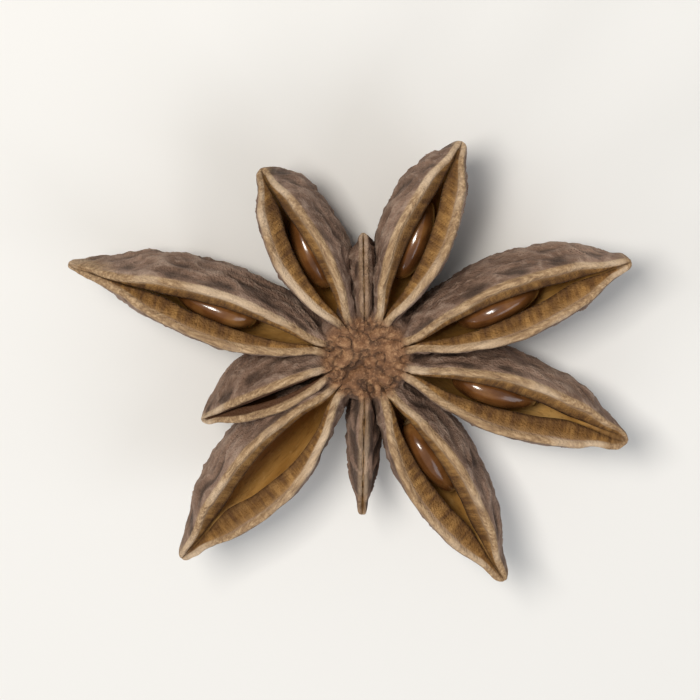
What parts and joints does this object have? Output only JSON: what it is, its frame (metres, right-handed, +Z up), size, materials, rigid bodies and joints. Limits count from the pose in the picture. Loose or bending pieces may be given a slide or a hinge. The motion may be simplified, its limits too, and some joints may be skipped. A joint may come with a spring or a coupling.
{
  "type": "star anise pod",
  "caption": "Dried star-shaped spice pod: open boat-shaped woody carpels round a short column, with a glossy seed lying in most of them. Lies flat, open side up.",
  "frame": {"origin": "centre of the pod's outline, on the surface that it lies on", "axes": "+Z up, out of the open side of the carpels; X and Y across the spread carpels, with +X towards the longest one"},
  "size_m": [0.0312, 0.0258, 0.0076],
  "materials": {
    "husk": "dried woody fruit wall: dull wrinkled outside, pale fibrous lips, smoother inside",
    "seed": "hard glossy seed coat"
  },
  "bodies": {
    "root": {"husk": "husk", "seed_1": "seed", "seed_2": "seed", "seed_3": "seed", "seed_4": "seed", "seed_5": "seed", "seed_6": "seed"}
  },
  "joints": []
}
